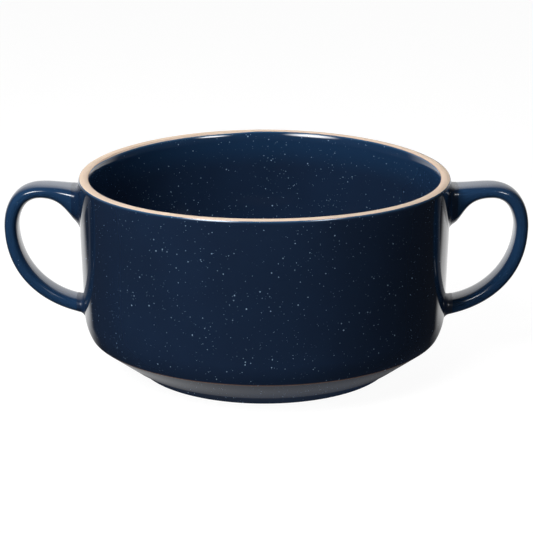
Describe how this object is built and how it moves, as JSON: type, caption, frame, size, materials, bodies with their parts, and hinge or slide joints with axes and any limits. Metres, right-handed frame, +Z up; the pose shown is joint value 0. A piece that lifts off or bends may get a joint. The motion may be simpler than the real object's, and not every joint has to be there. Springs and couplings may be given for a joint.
{
  "type": "two-handled soup bowl",
  "caption": "Glazed stoneware soup bowl with a bare clay lip, a stepped stacking foot and looped strap handles on opposite sides.",
  "frame": {"origin": "centre of the foot ring, on the table", "axes": "+X through the handles to the right one, +Y to the back of the pictured view, +Z up along the bowl's axis"},
  "size_m": [0.1842, 0.13, 0.0696],
  "materials": {
    "body_glaze": "gloss",
    "handle_glaze": "gloss",
    "slip_glaze": "gloss",
    "bare_clay": "matte"
  },
  "bodies": {
    "root": {"bowl_body": "body_glaze", "left_handle": "handle_glaze", "right_handle": "handle_glaze", "left_upper_slip_joint": "slip_glaze", "left_lower_slip_joint": "slip_glaze", "right_upper_slip_joint": "slip_glaze", "right_lower_slip_joint": "slip_glaze"}
  },
  "joints": []
}
